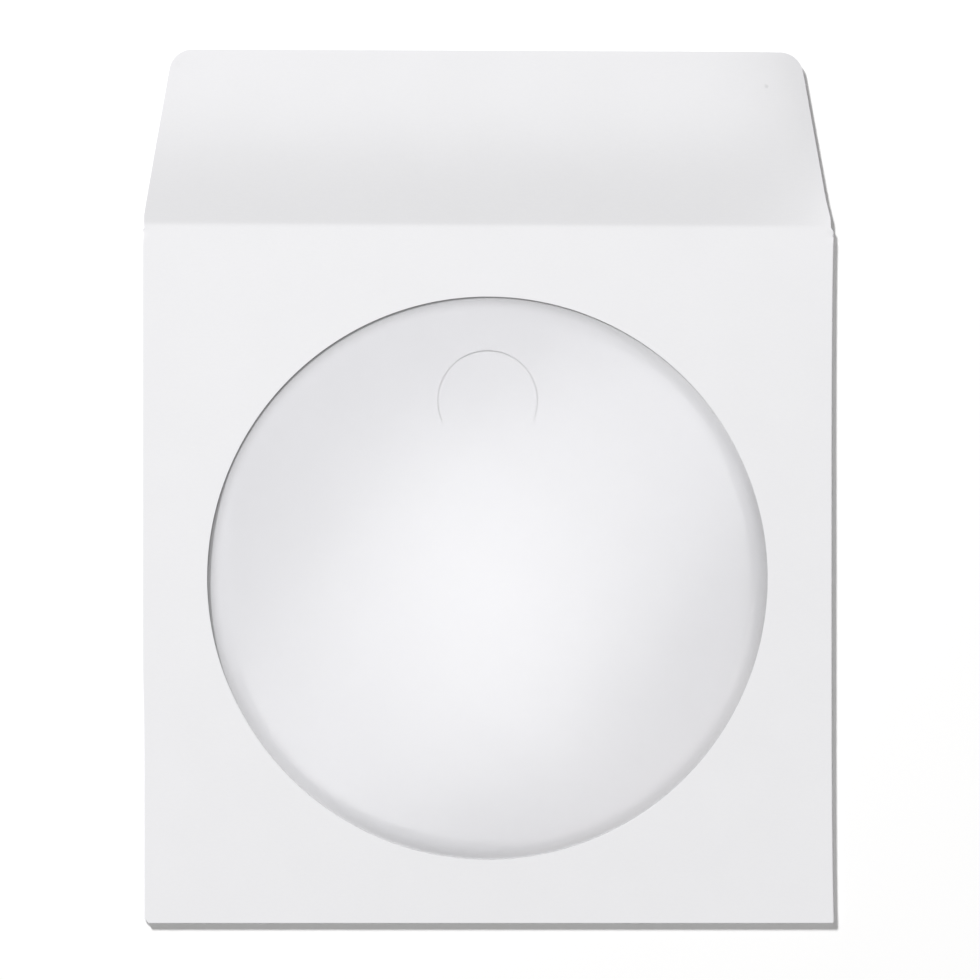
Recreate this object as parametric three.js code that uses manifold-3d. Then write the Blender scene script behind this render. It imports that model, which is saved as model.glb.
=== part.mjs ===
// Window envelope: a paper sleeve for a disc, with a round film window and an open closing flap.
// One die-cut blank is the window panel, the flap above it, a narrow seam flap folded behind each
// side, and the back panel folded up behind from the bottom and glued to the seam flaps.
// It lies on a table, window up, in millimetres: +Z is up and +Y runs towards the flap.
// The origin is the middle of the back panel's outer face, on the table.

import * as THREE from "three";
import { mergeVertices } from "three/addons/utils/BufferGeometryUtils.js";
import Module from "manifold-3d";

const wasm = await Module();
wasm.setup();

// Driving dimensions, in millimetres and degrees.

// Sheets and glue
const paper = 0.12;
const film = 0.05;
const glue = 0.05;

// Closed sleeve: the pocket is the clear height between the seam flaps and the film
const bodyWidth = 124.5;
const bodyHeight = 126.2;
const pocket = 0.39;

// Window
const windowDiameter = 101.6;
const windowAboveBottom = 62.4;

// Closing flap, with its crease and its tip a little out of square, as it was folded and cut
const creaseSkew = 0.22;
const flapDepth = 31.4;
const tipSkew = 0.22;
const flapBaseInset = 0.6;
const flapTipInset = 11.2;
const flapShift = -0.3;
const flapFoot = 0.2;
const flapShoulder = 1.5;
const flapCornerRadius = 4.2;

// Hill of the open flap: its slope at the crease, where it levels out, and how gently
const flapSlope = 7.4;
const flapRun = 14.5;
const flapLevelling = 3.5;

// Seam flaps, folded behind the window panel, with the slanted upper ends of their folds
const seamFlapWidth = 9.5;
const seamFlapTaper = 3.0;
const sideFoldFromBottom = 0.5;
const foldTopBelowCrease = 0.8;
const foldTopSlant = 1.2;

// Back panel: its cut sides lie inside the side folds, and its cut top is the throat
const backInset = 1.0;
const backFlare = 1.5;
const leftCornerClip = 0.6;
const throatBelowCrease = 2.5;
const throatCornerCut = 3.0;

// Tuck tab that holds the flap's tip: a part circle slit in the back panel, hinged at its foot
const tabRadius = 9.0;
const tabAboveBottom = 94.5;
const tabArc = 230;
const slitWidth = 0.2;

// Window film: a patch glued inside the window panel, standing up a little in the window
const filmMargin = 6.0;
const filmCornerRadius = 2.0;
const filmClearance = 0.3;
const glueSetback = 1.0;
const shoulderLift = 0.15;
const shoulderWidth = 2.0;
const crownLift = 0.8;

// Seam glue strips
const seamGlueWidth = 6.0;
const seamGlueMargin = 1.2;

// How finely the round forms are faceted
const windowSegments = 120;
const foldSegments = 10;
const flapRows = 14;
const flapColumns = 20;
const filmRings = 6;
const tabSegments = 40;
const cornerSegments = 8;

// Heights of each layer, from the table up.
const seamFlapLow = paper + glue;
const seamFlapTop = seamFlapLow + paper;
const filmLow = seamFlapTop + pocket;
const filmTop = filmLow + film;
const frontLow = filmTop + glue;
const frontTop = frontLow + paper;
const backMiddle = paper / 2;
const seamFlapMiddle = seamFlapLow + paper / 2;
const frontMiddle = frontLow + paper / 2;
const halfHeight = (backMiddle + frontMiddle) / 2;

// Places in plan.
const bottom = -bodyHeight / 2;
const creaseMiddle = bodyHeight / 2;
const halfWidth = bodyWidth / 2;
const backHalfWidth = halfWidth - backInset;
const flapBaseWidth = bodyWidth - flapBaseInset;
const flapTipWidth = bodyWidth - flapTipInset;
const throat = creaseMiddle - throatBelowCrease;
const windowRadius = windowDiameter / 2;
const windowCentre = new THREE.Vector2(0, bottom + windowAboveBottom);
const tabCentre = new THREE.Vector2(0, bottom + tabAboveBottom);

// Middle radius of each fold, and the flat width of the window panel between the side folds.
const bottomFoldRadius = (frontMiddle - backMiddle) / 2;
const sideFoldRadius = (frontMiddle - seamFlapMiddle) / 2;
const panelHalfWidth = halfWidth - sideFoldRadius - paper / 2;

// Overlap of neighbouring stretches of the one sheet, and how far cutting tools run past it.
const lap = 1.0;
const foldLap = paper / 2;
const clear = 5.0;

const rad = THREE.MathUtils.degToRad;

// Height of the skewed crease and of the flap's skewed tip at a place across the sleeve.
const creaseAt = (x) => creaseMiddle - x * Math.tan(rad(creaseSkew));
const tipAt = (x) => creaseMiddle + flapDepth - x * Math.tan(rad(tipSkew));

// Points along an arc, in degrees.
function arc(centreX, centreY, radius, from, to, segments) {
  return Array.from({ length: segments + 1 }, (_, i) => {
    const angle = rad(from + ((to - from) * i) / segments);
    return new THREE.Vector2(
      centreX + radius * Math.cos(angle),
      centreY + radius * Math.sin(angle),
    );
  });
}

// Outline of a sheet seen edge on: its middle line, thickened to both sides with mitred bends.
function edgeOn(line, thickness) {
  const normals = line.slice(1).map((point, i) => {
    const along = point.clone().sub(line[i]).normalize();
    return new THREE.Vector2(-along.y, along.x);
  });
  const offsets = line.map((_, i) => {
    const before = normals[Math.max(i - 1, 0)];
    const after = normals[Math.min(i, normals.length - 1)];
    const mitre = before.clone().add(after).normalize();
    return mitre.multiplyScalar(thickness / 2 / mitre.dot(before));
  });
  const above = line.map((point, i) => point.clone().add(offsets[i]));
  const below = line.map((point, i) => point.clone().sub(offsets[i]));
  return new THREE.Shape([...below, ...above.reverse()]);
}

// Outline through corners, each rounded to its own radius where it has one.
function roundedOutline(corners) {
  const points = corners.flatMap(({ at, radius }, i) => {
    if (!radius) return [at];
    const count = corners.length;
    const toBefore = corners[(i + count - 1) % count].at.clone().sub(at).normalize();
    const toAfter = corners[(i + 1) % count].at.clone().sub(at).normalize();
    const half = Math.acos(THREE.MathUtils.clamp(toBefore.dot(toAfter), -1, 1)) / 2;
    const middle = toBefore.clone().add(toAfter).normalize();
    const centre = middle.multiplyScalar(radius / Math.sin(half)).add(at);
    const start = toBefore.multiplyScalar(radius / Math.tan(half)).add(at).sub(centre);
    const end = toAfter.multiplyScalar(radius / Math.tan(half)).add(at).sub(centre);
    const turn = Math.atan2(start.cross(end), start.dot(end));
    return Array.from({ length: cornerSegments + 1 }, (_, k) =>
      start.clone().rotateAround(new THREE.Vector2(), (turn * k) / cornerSegments).add(centre),
    );
  });
  return new THREE.Shape(points);
}

const corner = (x, y, radius = 0) => ({ at: new THREE.Vector2(x, y), radius });

function circle(centre, radius) {
  return new THREE.Path(arc(centre.x, centre.y, radius, 0, 360, windowSegments).slice(0, -1));
}

// A closed three.js geometry as a solid that can be cut and joined, and back.
function solid(geometry) {
  const bare = geometry.clone();
  bare.deleteAttribute("normal");
  bare.deleteAttribute("uv");
  const merged = mergeVertices(bare, 1e-5);
  return new wasm.Manifold(
    new wasm.Mesh({
      numProp: 3,
      vertProperties: merged.attributes.position.array,
      triVerts: new Uint32Array(merged.index.array),
    }),
  );
}

function geometryOf(body) {
  const mesh = body.getMesh();
  const geometry = new THREE.BufferGeometry();
  geometry.setAttribute("position", new THREE.BufferAttribute(mesh.vertProperties, 3));
  geometry.setIndex(new THREE.BufferAttribute(mesh.triVerts, 1));
  geometry.computeVertexNormals();
  return geometry;
}

// A flat shape in plan, standing from one height to another.
function plate(shape, low, high) {
  const geometry = new THREE.ExtrudeGeometry(shape, {
    depth: high - low,
    bevelEnabled: false,
  });
  return geometry.translate(0, 0, low);
}

// A side view in Y and Z, drawn out across the sleeve.
function drawnAcross(shape, width) {
  const geometry = new THREE.ExtrudeGeometry(shape, { depth: width, bevelEnabled: false });
  geometry.translate(0, 0, -width / 2);
  const turned = new THREE.Matrix4().makeBasis(
    new THREE.Vector3(0, 1, 0),
    new THREE.Vector3(0, 0, 1),
    new THREE.Vector3(1, 0, 0),
  );
  return geometry.applyMatrix4(turned);
}

// An end view in X and Z, drawn out along the sleeve.
function drawnAlong(shape, length) {
  const geometry = new THREE.ExtrudeGeometry(shape, { depth: length, bevelEnabled: false });
  geometry.translate(0, 0, -length / 2);
  const turned = new THREE.Matrix4().makeBasis(
    new THREE.Vector3(1, 0, 0),
    new THREE.Vector3(0, 0, 1),
    new THREE.Vector3(0, -1, 0),
  );
  return geometry.applyMatrix4(turned);
}

// Back panel, bottom fold and window panel as one bent strip, trimmed to each panel's outline.
function panels() {
  const strip = edgeOn(
    [
      new THREE.Vector2(throat, backMiddle),
      ...arc(
        bottom + paper / 2 + bottomFoldRadius,
        halfHeight,
        bottomFoldRadius,
        270,
        90,
        foldSegments,
      ),
      new THREE.Vector2(creaseMiddle + clear, frontMiddle),
    ],
    paper,
  );
  const bent = solid(drawnAcross(strip, bodyWidth));
  const front = bent.intersect(solid(plate(frontOutline(), halfHeight, frontTop + clear)));
  const back = bent.intersect(solid(plate(backOutline(), -clear, halfHeight + foldLap)));
  return front.add(back);
}

// The lower left corner is worn off a little.
function frontOutline() {
  const flapRight = flapShift + flapBaseWidth / 2;
  const flapLeft = flapShift - flapBaseWidth / 2;
  return new THREE.Shape([
    new THREE.Vector2(-panelHalfWidth + leftCornerClip, bottom - clear),
    new THREE.Vector2(panelHalfWidth, bottom - clear),
    new THREE.Vector2(panelHalfWidth, creaseAt(panelHalfWidth) - foldTopBelowCrease),
    new THREE.Vector2(flapRight, creaseAt(flapRight)),
    new THREE.Vector2(flapLeft, creaseAt(flapLeft)),
    new THREE.Vector2(-panelHalfWidth, creaseAt(-panelHalfWidth) - foldTopBelowCrease),
    new THREE.Vector2(-panelHalfWidth, bottom + leftCornerClip),
    new THREE.Vector2(-panelHalfWidth + leftCornerClip, bottom),
  ]);
}

// The back panel is as wide as the window panel at its fold, and narrows beside it.
function backOutline() {
  return new THREE.Shape([
    new THREE.Vector2(-panelHalfWidth + leftCornerClip, bottom - clear),
    new THREE.Vector2(panelHalfWidth, bottom - clear),
    new THREE.Vector2(panelHalfWidth, bottom + sideFoldFromBottom),
    new THREE.Vector2(backHalfWidth, bottom + backFlare),
    new THREE.Vector2(backHalfWidth, throat - throatCornerCut),
    new THREE.Vector2(backHalfWidth - throatCornerCut, throat),
    new THREE.Vector2(-backHalfWidth + throatCornerCut, throat),
    new THREE.Vector2(-backHalfWidth, throat - throatCornerCut),
    new THREE.Vector2(-backHalfWidth, bottom + leftCornerClip),
    new THREE.Vector2(-panelHalfWidth + leftCornerClip, bottom),
  ]);
}

// How far the flap stands above its crease. It leaves the crease at a slope, levels out
// towards its tip, and comes down to the crease's height at both sides.
function flapLift(x, past) {
  const climbed = Math.max(past, 0);
  const levelled = flapLevelling * Math.log1p(Math.exp((climbed - flapRun) / flapLevelling));
  const narrowing = (flapBaseWidth - flapTipWidth) / 2 / flapDepth;
  const across = (x - flapShift) / (flapBaseWidth / 2 - narrowing * climbed);
  return Math.tan(rad(flapSlope)) * (climbed - levelled) * Math.max(1 - across ** 4, 0);
}

// Closing flap: a flat sheet, raised into its hill and trimmed in plan.
function closingFlap() {
  const length = lap + flapDepth + clear;
  const sheet = new THREE.BoxGeometry(bodyWidth, length, paper, flapColumns, flapRows, 1);
  sheet.translate(0, length / 2 - lap, frontMiddle);
  const spots = sheet.getAttribute("position");
  for (let i = 0; i < spots.count; i++) {
    spots.setZ(i, spots.getZ(i) + flapLift(spots.getX(i), spots.getY(i)));
  }
  sheet.rotateZ(-rad(creaseSkew)).translate(0, creaseMiddle, 0);
  return solid(sheet).intersect(solid(plate(flapOutline(), 0, frontTop + clear)));
}

function flapOutline() {
  const left = flapShift - flapBaseWidth / 2;
  const right = flapShift + flapBaseWidth / 2;
  const tipLeft = flapShift - flapTipWidth / 2;
  const tipRight = flapShift + flapTipWidth / 2;
  return roundedOutline([
    corner(left, creaseAt(left) - flapFoot),
    corner(right, creaseAt(right) - flapFoot),
    corner(right, creaseAt(right) + flapShoulder),
    corner(tipRight, tipAt(tipRight), flapCornerRadius),
    corner(tipLeft, tipAt(tipLeft), flapCornerRadius),
    corner(left, creaseAt(left) + flapShoulder),
  ]);
}

// Lowest and highest ends of a seam flap, at its fold, on the side given by its sign.
function seamFlapSpan(side) {
  return {
    low: bottom + sideFoldFromBottom,
    high: creaseAt(side * halfWidth) - foldTopBelowCrease,
  };
}

// Side fold and seam flap: an end view bent back on itself, with its flap's ends tapered.
function sideFold(side) {
  const bend = arc(panelHalfWidth, seamFoldCentre(), sideFoldRadius, 90, -90, foldSegments);
  const section = edgeOn(
    [
      new THREE.Vector2(panelHalfWidth - lap, frontMiddle),
      ...bend,
      new THREE.Vector2(halfWidth - seamFlapWidth, seamFlapMiddle),
    ],
    paper,
  );
  const bent = drawnAlong(section, bodyHeight + 2 * clear);
  if (side < 0) bent.rotateZ(Math.PI);
  const { low, high } = seamFlapSpan(side);
  const inner = side * (halfWidth - seamFlapWidth);
  const outer = side * (halfWidth + clear);
  const fold = side * panelHalfWidth;
  const trim = new THREE.Shape([
    new THREE.Vector2(inner, low + seamFlapTaper),
    new THREE.Vector2(fold, low),
    new THREE.Vector2(outer, low),
    new THREE.Vector2(outer, high - foldTopSlant),
    new THREE.Vector2(side * halfWidth, high - foldTopSlant),
    new THREE.Vector2(fold, high),
    new THREE.Vector2(inner, high - seamFlapTaper),
  ]);
  return solid(bent).intersect(solid(plate(trim, 0, frontTop + clear)));
}

function seamFoldCentre() {
  return (frontMiddle + seamFlapMiddle) / 2;
}

function windowCut() {
  const hole = new THREE.Shape(circle(windowCentre, windowRadius).getPoints());
  return solid(plate(hole, halfHeight, frontTop + clear));
}

// The slit runs round the tab's top and sides and leaves its foot uncut.
function tabSlit() {
  const from = 90 - tabArc / 2;
  const to = 90 + tabArc / 2;
  const outside = tabRadius + slitWidth / 2;
  const inside = tabRadius - slitWidth / 2;
  const slit = new THREE.Shape([
    ...arc(tabCentre.x, tabCentre.y, outside, from, to, tabSegments),
    ...arc(tabCentre.x, tabCentre.y, inside, to, from, tabSegments),
  ]);
  return solid(plate(slit, -clear, halfHeight));
}

function paperSleeve() {
  const folded = panels().add(closingFlap()).add(sideFold(1)).add(sideFold(-1));
  return geometryOf(folded.subtract(windowCut()).subtract(tabSlit()));
}

// Square patch round the window, with the same margin all round.
function patchOutline(inset) {
  const reach = windowRadius + filmMargin - inset;
  const { x, y } = windowCentre;
  return roundedOutline([
    corner(x - reach, y - reach, filmCornerRadius),
    corner(x + reach, y - reach, filmCornerRadius),
    corner(x + reach, y + reach, filmCornerRadius),
    corner(x - reach, y + reach, filmCornerRadius),
  ]);
}

// How far the film stands above its glued border, at a distance from the window's centre.
function filmLift(distance) {
  const reach = windowRadius - filmClearance;
  const inwards = Math.max(reach - distance, 0);
  const shoulder = THREE.MathUtils.smoothstep(inwards, 0, shoulderWidth);
  const crown = inwards > 0 ? 1 - (distance / reach) ** 2 : 0;
  return shoulderLift * shoulder + crownLift * crown;
}

// The raised middle is turned about the window's centre and joined to its flat border.
function windowFilm() {
  const reach = windowRadius - filmClearance;
  const crownEdge = reach - shoulderWidth;
  const crown = Array.from({ length: filmRings + 1 }, (_, i) => (crownEdge * i) / filmRings);
  const shoulder = [0.3, 0.7, 1].map((share) => crownEdge + shoulderWidth * share);
  const stations = [...crown, ...shoulder, reach + glueSetback];
  const under = stations.map((r) => new THREE.Vector2(r, filmLow + filmLift(r)));
  const over = stations.map((r) => new THREE.Vector2(r, filmTop + filmLift(r)));
  const middle = new THREE.LatheGeometry([...under, ...over.reverse()], windowSegments);
  middle.rotateX(Math.PI / 2).translate(windowCentre.x, windowCentre.y, 0);
  const border = patchOutline(0);
  border.holes.push(circle(windowCentre, reach + glueSetback / 2));
  return geometryOf(solid(middle).add(solid(plate(border, filmLow, filmTop))));
}

function windowGlue() {
  const ring = patchOutline(glueSetback);
  ring.holes.push(circle(windowCentre, windowRadius + glueSetback));
  return plate(ring, filmTop, frontLow);
}

function seamGlue(side) {
  const { low, high } = seamFlapSpan(side);
  const inner = side * (halfWidth - seamFlapWidth + seamGlueMargin);
  const outer = inner + side * seamGlueWidth;
  const start = low + seamFlapTaper + seamGlueMargin;
  const end = Math.min(high, throat) - seamFlapTaper - seamGlueMargin;
  const strip = new THREE.Shape([
    new THREE.Vector2(Math.min(inner, outer), start),
    new THREE.Vector2(Math.max(inner, outer), start),
    new THREE.Vector2(Math.max(inner, outer), end),
    new THREE.Vector2(Math.min(inner, outer), end),
  ]);
  return plate(strip, paper, seamFlapLow);
}

function named(name, geometry, material) {
  const mesh = new THREE.Mesh(geometry, material);
  mesh.name = name;
  return mesh;
}

const paperMaterial = new THREE.MeshStandardMaterial({ color: 0xeceaee, roughness: 0.85 });
const filmMaterial = new THREE.MeshStandardMaterial({
  color: 0xf6f8fa,
  roughness: 0.15,
  transparent: true,
  opacity: 0.2,
});
const glueMaterial = new THREE.MeshStandardMaterial({ color: 0xe6e2d6, roughness: 0.5 });

const group = new THREE.Group();
group.add(
  named("paper_sleeve", paperSleeve(), paperMaterial),
  named("window_film", windowFilm(), filmMaterial),
  named("window_adhesive", windowGlue(), glueMaterial),
  named("seam_adhesive_left", seamGlue(-1), glueMaterial),
  named("seam_adhesive_right", seamGlue(1), glueMaterial),
);

export default group;
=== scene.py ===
"""Window envelope: the finished look of a paper disc sleeve with a round film window.

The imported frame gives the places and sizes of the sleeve's layers. This script bends the
die-cut blank into one fine sheet, lays the film and its glue under the window panel, gives
every piece its finish, and sets up the table, the lamps and the camera.
"""

import enum
import logging
import math
from dataclasses import dataclass, field

import bpy
import numpy as np
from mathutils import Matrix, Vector
from mathutils.geometry import delaunay_2d_cdt


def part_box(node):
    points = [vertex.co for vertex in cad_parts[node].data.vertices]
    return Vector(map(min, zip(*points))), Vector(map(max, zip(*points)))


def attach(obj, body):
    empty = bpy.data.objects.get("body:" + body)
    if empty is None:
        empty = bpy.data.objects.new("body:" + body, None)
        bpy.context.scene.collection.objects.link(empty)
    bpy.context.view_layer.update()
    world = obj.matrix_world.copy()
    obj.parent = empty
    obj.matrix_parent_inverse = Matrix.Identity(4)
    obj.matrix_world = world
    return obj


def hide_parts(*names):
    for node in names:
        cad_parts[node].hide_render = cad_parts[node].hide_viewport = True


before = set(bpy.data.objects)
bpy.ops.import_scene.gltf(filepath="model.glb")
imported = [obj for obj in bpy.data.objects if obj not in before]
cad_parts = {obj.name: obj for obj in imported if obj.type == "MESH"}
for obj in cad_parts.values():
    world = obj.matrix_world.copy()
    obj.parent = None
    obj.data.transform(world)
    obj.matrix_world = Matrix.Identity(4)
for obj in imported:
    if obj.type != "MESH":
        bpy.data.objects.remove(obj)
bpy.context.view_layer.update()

BODY = "root"
MM = 0.001
# Name of the attribute that carries the painted shade darkening the film towards its rim.
RIM_SHADE_ATTRIBUTE = "rim"
NOISE_ROUGHNESS = 0.62
CLOUD_HEIGHT = 0.35
FLECK_NOISE_SCALE = 2600.0
FLECK_SOFTNESS = 0.1

log = logging.getLogger("window_envelope")


class Slot(enum.Enum):
    """Material slots of the record. Nothing in this script reads them."""

    PAPER = "paper"
    FILM = "film"
    ADHESIVE = "adhesive"


class Layer(enum.Enum):
    """Patches that lie under the window panel, round its window."""

    FILM = "film"
    GLUE = "glue"


@dataclass(frozen=True)
class Places:
    """Where the frame puts the sleeve's layers and edges, in millimetres."""

    half_width: float
    bottom: float
    paper: float
    seam_flap_low: float
    film_low: float
    film_top: float
    front_low: float
    window_y: float
    film_reach: float
    glue_reach: float

    @classmethod
    def from_frame(cls) -> "Places":
        """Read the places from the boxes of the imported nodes.

        Returns:
            The places of every layer.
        """
        sleeve_low, sleeve_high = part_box("paper_sleeve")
        film_low, film_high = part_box("window_film")
        glue_low, glue_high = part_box("window_adhesive")
        seam_low, seam_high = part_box("seam_adhesive_left")
        return cls(
            half_width=sleeve_high[0] / MM,
            bottom=sleeve_low[1] / MM,
            paper=seam_low[2] / MM,
            seam_flap_low=seam_high[2] / MM,
            film_low=film_low[2] / MM,
            film_top=glue_low[2] / MM,
            front_low=glue_high[2] / MM,
            window_y=(film_low[1] + film_high[1]) / 2 / MM,
            film_reach=film_high[0] / MM,
            glue_reach=glue_high[0] / MM,
        )


@dataclass(frozen=True)
class SleeveForm:
    """The folded sheet as one formula: where each point of the flat blank ends up.

    All sizes are in millimetres, on the middle of the sheet's thickness.
    """

    places: Places
    crease_y: float = 63.1
    crease_skew: float = math.radians(0.22)
    crown: float = 0.2
    side_lift: float = 0.12
    flap_slope: float = math.tan(math.radians(7.3))
    flap_run: float = 14.5
    flap_levelling: float = 3.5
    flap_droop: float = 1.1
    flap_droop_power: int = 8
    flap_foot_half: float = 62.0
    flap_taper: float = 0.171
    crease_width: float = 0.3
    fold_reach: float = 0.2
    fold_top: float = 0.8
    tab_centre_y: float = 31.4
    tab_radius: float = 9.0
    tab_foot_y: float = 27.6
    tab_lift: float = 0.13
    tab_lift_spread: float = 9.0
    back_rise: float = 0.515
    rise_start: float = 52.7
    rise_run: float = 6.5
    rise_clear: float = 2.0
    waver_right: float = 0.38
    waver_outward: float = 0.87
    waver_half_length: float = 63.0
    waver_run_right: float = 5.0
    waver_left: float = 0.3
    waver_step_y: float = -22.0
    waver_step_run: float = 3.0
    waver_run_left: float = 4.0

    @property
    def front(self) -> float:
        """Height of the window panel's middle at its creases."""
        return self.places.front_low + self.places.paper / 2

    @property
    def back(self) -> float:
        """Height of the back panel's middle."""
        return self.places.paper / 2

    @property
    def seam_flap(self) -> float:
        """Height of the seam flaps' middle."""
        return self.places.seam_flap_low + self.places.paper / 2

    @property
    def side_length(self) -> float:
        """Length of sheet that a side fold takes up."""
        return self.front - self.seam_flap + self.fold_reach

    @property
    def bottom_length(self) -> float:
        """Length of sheet that the bottom fold takes up."""
        return self.front - self.back + self.fold_reach

    @property
    def panel_half_width(self) -> float:
        """Half the flat width between the side folds."""
        return self.places.half_width - self.fold_reach - self.places.paper / 2

    @property
    def fold_y(self) -> float:
        """Where the bottom fold leaves the window panel."""
        return self.places.bottom + self.places.paper / 2 + self.fold_reach

    def crease(self, x: np.ndarray) -> np.ndarray:
        """Place of the flap's crease across the sleeve."""
        return self.crease_y - x * math.tan(self.crease_skew)

    def panel_height(self, x: np.ndarray, y: np.ndarray) -> np.ndarray:
        """Height of the window panel, crowned between its folds and its crease.

        Args:
            x: Places across the sleeve.
            y: Places along the sleeve.

        Returns:
            Heights of the sheet's middle.
        """
        crease = self.crease(x)
        half = (crease - self.fold_y) / 2
        along = 1 - ((y - self.fold_y - half) / half) ** 2
        across = 1 - np.minimum(np.abs(x) / self.panel_half_width, 1) ** 2
        return self.front + (self.crown * across + self.side_lift) * np.maximum(along, 0)

    def flap_height(self, x: np.ndarray, y: np.ndarray) -> np.ndarray:
        """Lift of the flap, which leaves its crease at a slope and levels out.

        Args:
            x: Places across the sleeve.
            y: Places along the sleeve.

        Returns:
            Height above the crease, which is nothing well below the crease.
        """
        past = y - self.crease(x)
        rounded = (past + np.sqrt(past**2 + self.crease_width**2)) / 2
        levelled = np.logaddexp(0, (rounded - self.flap_run) / self.flap_levelling)
        lift = self.flap_slope * (rounded - self.flap_levelling * levelled)
        half = self.flap_foot_half - self.flap_taper * np.maximum(past, 0)
        return lift * (1 - self.flap_droop * np.clip(x / half, 0, 1) ** self.flap_droop_power)

    def back_lift(self, x: np.ndarray, y: np.ndarray) -> np.ndarray:
        """Swell of the back panel into the pocket, with a slight spring round the tuck tab.

        Args:
            x: Places across the sleeve.
            y: Places along the sleeve, after folding.

        Returns:
            Height above the flat back panel.
        """
        top = self.tab_centre_y + self.tab_radius
        apart = np.hypot(x, y - top)
        lift = self.tab_lift * np.exp(-((apart / self.tab_lift_spread) ** 2))
        inside = (np.hypot(x, y - self.tab_centre_y) < self.tab_radius) & (y > self.tab_foot_y)
        share = np.clip((y - self.tab_foot_y) / (top - self.tab_foot_y), 0, 1)
        across = np.clip((self.rise_start - np.abs(x)) / self.rise_run, 0, 1)
        along = np.clip((y - self.fold_y - self.rise_clear) / self.rise_run, 0, 1)
        raised = self.back_rise + self.panel_height(x, y) - self.front
        rise = raised * across**2 * (3 - 2 * across) * along**2 * (3 - 2 * along)
        return rise + np.where(inside, lift * (1 - share**3), lift)

    def drift(self, x: np.ndarray, y: np.ndarray) -> np.ndarray:
        """Waver of the side folds, which aren't quite straight.

        Args:
            x: Places across the sleeve.
            y: Places along the sleeve.

        Returns:
            How far each point shifts across.
        """
        below = self.crease(x) - y
        hollow = np.clip(1 - (y / self.waver_half_length) ** 4, 0, 1)
        right = self.waver_right * (self.waver_outward - hollow)
        right = right * np.clip(below / self.waver_run_right + 1, 0, 1)
        low = 1 / (1 + np.exp((y - self.waver_step_y) / self.waver_step_run))
        left = self.waver_left * (low - 0.5)
        left = left * np.clip(below / self.waver_run_left, 0, 1)
        share = np.abs(x) / self.places.half_width
        return np.where(x > 0, right, left) * share**3

    def bend(self, past: np.ndarray, length: float) -> tuple[np.ndarray, np.ndarray]:
        """Run round a fold whose section is a half circle pressed nearly square.

        Args:
            past: How far past the start of the fold each point is on the flat sheet.
            length: Length of sheet that the fold takes up.

        Returns:
            How far out each point lies, and its height between -1 and 1.
        """
        angle = np.clip(past / length, 0, 1) * math.pi
        out = self.fold_reach * np.sqrt(np.sin(angle).clip(0))
        return out - np.maximum(past - length, 0), np.sign(np.cos(angle)) * np.sqrt(np.abs(np.cos(angle)))

    def fold(self, flat: np.ndarray) -> np.ndarray:
        """Bend flat points of the blank into the sleeve.

        Args:
            flat: Points of the blank, one row each.

        Returns:
            Points of the sheet's middle, one row of three each.
        """
        x, y = flat[:, 0], flat[:, 1]
        height = self.panel_height(x, y) + self.flap_height(x, y)
        folded = np.column_stack([x, y, height])

        past_side = np.abs(x) - self.panel_half_width
        side = (past_side > 0) & (y > self.fold_y) & (y < self.crease(x) - self.fold_top)
        edge = self.panel_height(np.full_like(x, self.panel_half_width), y)
        out, level = self.bend(past_side, self.side_length)
        folded[side, 0] = (np.sign(x) * (self.panel_half_width + out))[side]
        folded[side, 2] = (self.seam_flap + (edge - self.seam_flap) * (1 + level) / 2)[side]

        past_bottom = self.fold_y - y
        below = past_bottom > 0
        out, level = self.bend(past_bottom, self.bottom_length)
        rise = (self.front - self.back) * (1 + level) / 2
        folded[below, 1] = (self.fold_y - out)[below]
        folded[below, 2] = (self.back + rise + self.back_lift(x, self.fold_y - out))[below]
        folded[:, 0] += self.drift(folded[:, 0], folded[:, 1])
        return folded


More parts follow.
